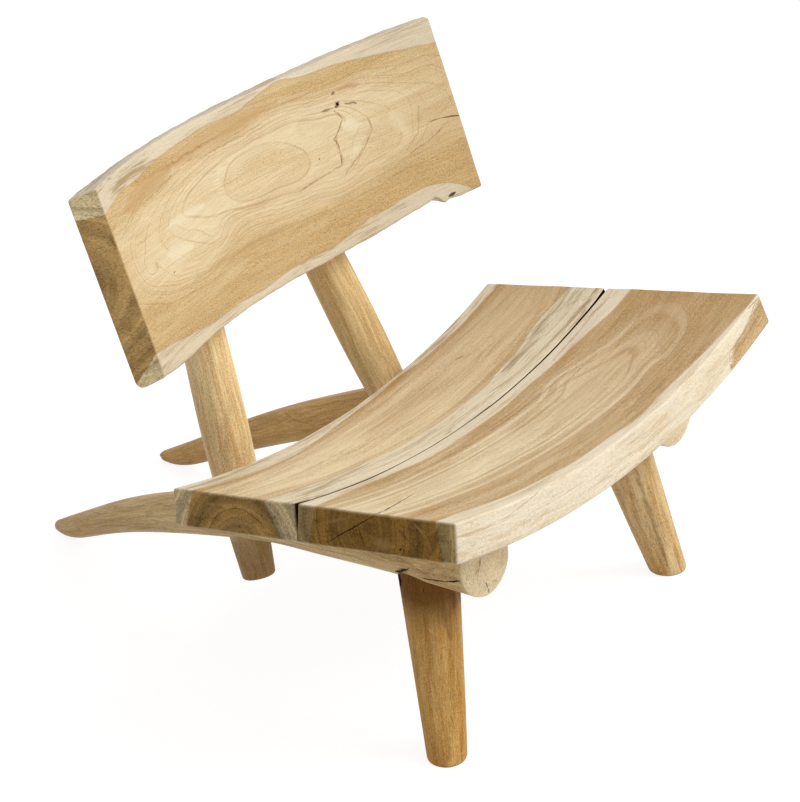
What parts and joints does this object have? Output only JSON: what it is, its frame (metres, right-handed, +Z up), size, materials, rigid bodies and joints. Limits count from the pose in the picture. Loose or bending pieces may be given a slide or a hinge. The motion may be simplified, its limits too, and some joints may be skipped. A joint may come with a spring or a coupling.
{
  "type": "low lounge chair",
  "caption": "Low birthing chair of solid wood: dished plank seat, curved live-edge plank backrest, tusk-shaped rails reaching back to the floor, splayed front legs and leaning rear posts.",
  "frame": {"origin": "on the floor, under the middle of the whole chair's bounding box", "axes": "+Z up, -Y towards the front of the seat, +X towards the sitter's left"},
  "size_m": [0.654, 0.8964, 0.6683],
  "materials": {
    "seat_teak": "smooth sanded, unvarnished, heartwood with pale sapwood along the edges",
    "back_teak": "smooth sanded, unvarnished, golden heartwood with pale sapwood at the live edges",
    "rail_teak": "smooth sanded, greyer brown, fine long grain",
    "leg_teak": "smooth sanded, golden brown",
    "post_teak": "smooth sanded, tan with darker streaks",
    "plug_teak": "sanded flush with the surface",
    "dowel_wood": "plain turned hardwood",
    "peg_wood": "plain turned hardwood",
    "screw_steel": "plain steel"
  },
  "bodies": {
    "root": {"seat_front_plank": "seat_teak", "seat_rear_plank": "seat_teak", "seat_seam_dowels": "dowel_wood", "backrest": "back_teak", "tusk_rail_left": "rail_teak", "tusk_rail_right": "rail_teak", "front_leg_left": "leg_teak", "front_leg_right": "leg_teak", "rear_post_left": "post_teak", "rear_post_right": "post_teak", "seat_screws": "screw_steel", "seat_screw_plugs": "plug_teak", "back_screws": "screw_steel", "back_screw_plugs": "plug_teak", "leg_tenon_pegs": "peg_wood", "post_lock_pegs": "peg_wood"}
  },
  "joints": []
}
